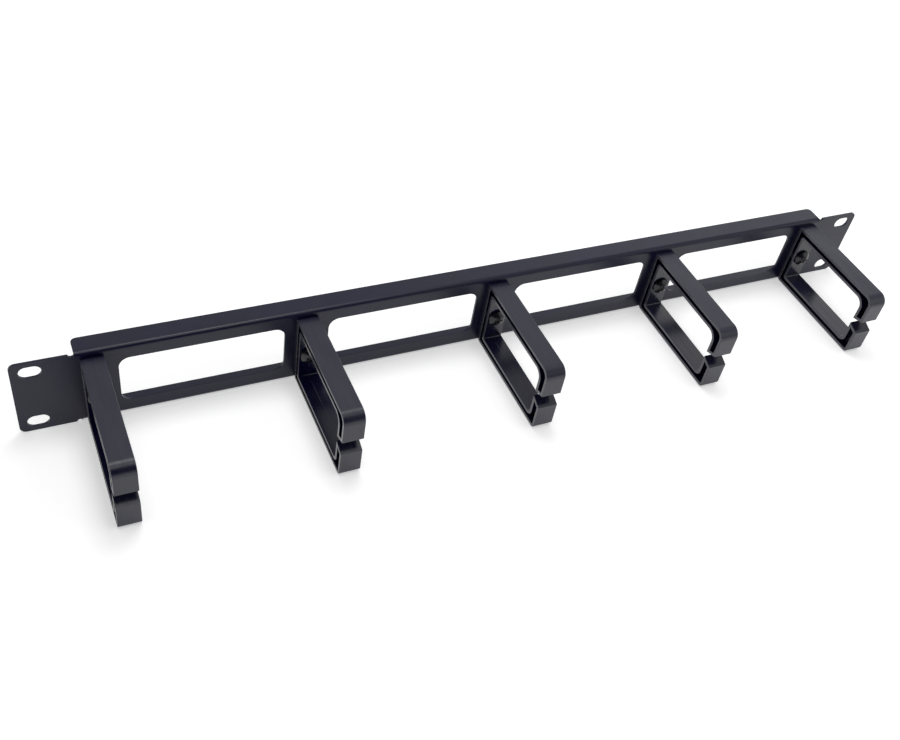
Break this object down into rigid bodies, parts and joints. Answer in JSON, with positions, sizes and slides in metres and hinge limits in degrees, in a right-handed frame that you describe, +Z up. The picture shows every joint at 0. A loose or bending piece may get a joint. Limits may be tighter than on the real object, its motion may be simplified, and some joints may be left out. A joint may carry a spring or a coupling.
{
  "type": "horizontal cable manager",
  "caption": "Folded rack panel with windows, flat slotted ears and a row of open plastic rings screwed to its front, which carry patch cables across the rack.",
  "frame": {"origin": "on the front face of the panel, at the middle of its width and height, which is the centre of the four rack slots", "axes": "+X to the right along the panel, -Y to the front where the rings stand out, +Z up"},
  "size_m": [0.4826, 0.0784, 0.0436],
  "materials": {
    "powder_coat": "satin black powder coat with a fine texture",
    "ring_plastic": "semi-gloss moulded black",
    "black_screw": "semi-gloss black",
    "black_washer": "semi-gloss black",
    "black_nut": "semi-gloss black"
  },
  "bodies": {
    "root": {"panel": "powder_coat", "cable_ring_1": "ring_plastic", "ring_screw_1": "black_screw", "lock_washer_1": "black_washer", "ring_nut_1": "black_nut", "cable_ring_2": "ring_plastic", "ring_screw_2": "black_screw", "lock_washer_2": "black_washer", "ring_nut_2": "black_nut", "cable_ring_3": "ring_plastic", "ring_screw_3": "black_screw", "lock_washer_3": "black_washer", "ring_nut_3": "black_nut", "cable_ring_4": "ring_plastic", "ring_screw_4": "black_screw", "lock_washer_4": "black_washer", "ring_nut_4": "black_nut", "cable_ring_5": "ring_plastic", "ring_screw_5": "black_screw", "lock_washer_5": "black_washer", "ring_nut_5": "black_nut"}
  },
  "joints": []
}
